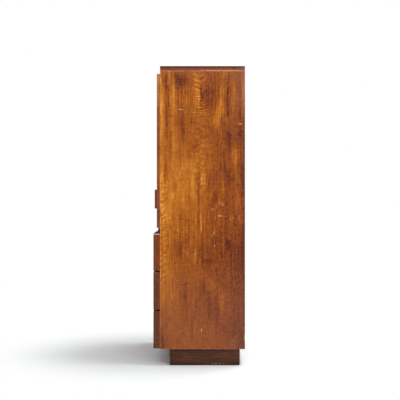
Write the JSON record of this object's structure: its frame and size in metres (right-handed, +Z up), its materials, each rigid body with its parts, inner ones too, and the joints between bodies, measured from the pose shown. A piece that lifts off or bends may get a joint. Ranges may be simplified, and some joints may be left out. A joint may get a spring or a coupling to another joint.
{
  "type": "highboy",
  "caption": "Tall wooden chest with a doored upper cupboard over thick-fronted drawers with scooped finger pulls, on a set-back plinth.",
  "frame": {"origin": "on the floor, under the middle of the whole outline", "axes": "+X across the front to the right as seen from the front, +Y from front to back, +Z up"},
  "size_m": [0.9266, 0.4754, 1.524],
  "materials": {
    "case_veneer": "figured veneer, satin lacquer",
    "show_wood": "stained solid wood, satin lacquer",
    "plinth_wood": "dark stain, worn",
    "inner_wood": "plain sanded",
    "drawer_wood": "pale, sanded",
    "plywood": "plain ply",
    "brass": "aged",
    "steel": "dull zinc",
    "catch_case": "brown enamel"
  },
  "bodies": {
    "case": {"right_side_panel": "case_veneer", "left_side_panel": "case_veneer", "top_panel": "show_wood", "bottom_panel": "inner_wood", "back_panel": "plywood", "top_rail": "inner_wood", "mid_deck": "inner_wood", "mid_rail": "inner_wood", "waist_moulding": "show_wood", "upper_divider_rail": "inner_wood", "lower_divider_rail": "inner_wood", "upper_shelf": "inner_wood", "lower_shelf": "inner_wood", "shelf_pins": "brass", "top_cleats": "inner_wood", "plinth_front": "plinth_wood", "plinth_back": "plinth_wood", "plinth_right": "plinth_wood", "plinth_left": "plinth_wood", "plinth_corner_blocks": "inner_wood", "right_drawer_runners": "inner_wood", "left_drawer_runners": "inner_wood", "case_screws": "steel", "right_hinge_case_leaves": "brass", "left_hinge_case_leaves": "brass", "hinge_pins": "brass", "case_hinge_screws": "brass", "door_catches": "catch_case"},
    "right_door": {"right_door_panel": "case_veneer", "right_door_handle": "show_wood", "right_hinge_door_leaves": "brass", "right_door_screws": "brass", "right_catch_plate": "steel"},
    "left_door": {"left_door_panel": "case_veneer", "left_door_handle": "show_wood", "left_hinge_door_leaves": "brass", "left_door_screws": "brass", "left_catch_plate": "steel"},
    "lower_drawer": {"lower_drawer_front": "show_wood", "lower_drawer_inner_front": "drawer_wood", "lower_drawer_right_side": "drawer_wood", "lower_drawer_left_side": "drawer_wood", "lower_drawer_back": "drawer_wood", "lower_drawer_bottom": "plywood", "lower_drawer_screws": "steel"},
    "middle_drawer": {"middle_drawer_front": "show_wood", "middle_drawer_inner_front": "drawer_wood", "middle_drawer_right_side": "drawer_wood", "middle_drawer_left_side": "drawer_wood", "middle_drawer_back": "drawer_wood", "middle_drawer_bottom": "plywood", "middle_drawer_screws": "steel"},
    "upper_drawer": {"upper_drawer_front": "show_wood", "upper_drawer_inner_front": "drawer_wood", "upper_drawer_right_side": "drawer_wood", "upper_drawer_left_side": "drawer_wood", "upper_drawer_back": "drawer_wood", "upper_drawer_bottom": "plywood", "upper_drawer_screws": "steel"}
  },
  "joints": [
    {"name": "right_door_hinge", "type": "hinge", "parent": "case", "child": "right_door", "pos_m": [0.4603, -0.19475, 1.0928], "axis": [0, 0, 1], "range_deg": [0, 180]},
    {"name": "left_door_hinge", "type": "hinge", "parent": "case", "child": "left_door", "pos_m": [-0.4603, -0.19475, 1.0928], "axis": [0, 0, -1], "range_deg": [0, 180]},
    {"name": "lower_drawer_slide", "type": "slide", "parent": "case", "child": "lower_drawer", "axis": [0, -1, 0], "range_m": [0, 0.3]},
    {"name": "middle_drawer_slide", "type": "slide", "parent": "case", "child": "middle_drawer", "axis": [0, -1, 0], "range_m": [0, 0.3]},
    {"name": "upper_drawer_slide", "type": "slide", "parent": "case", "child": "upper_drawer", "axis": [0, -1, 0], "range_m": [0, 0.3]}
  ]
}
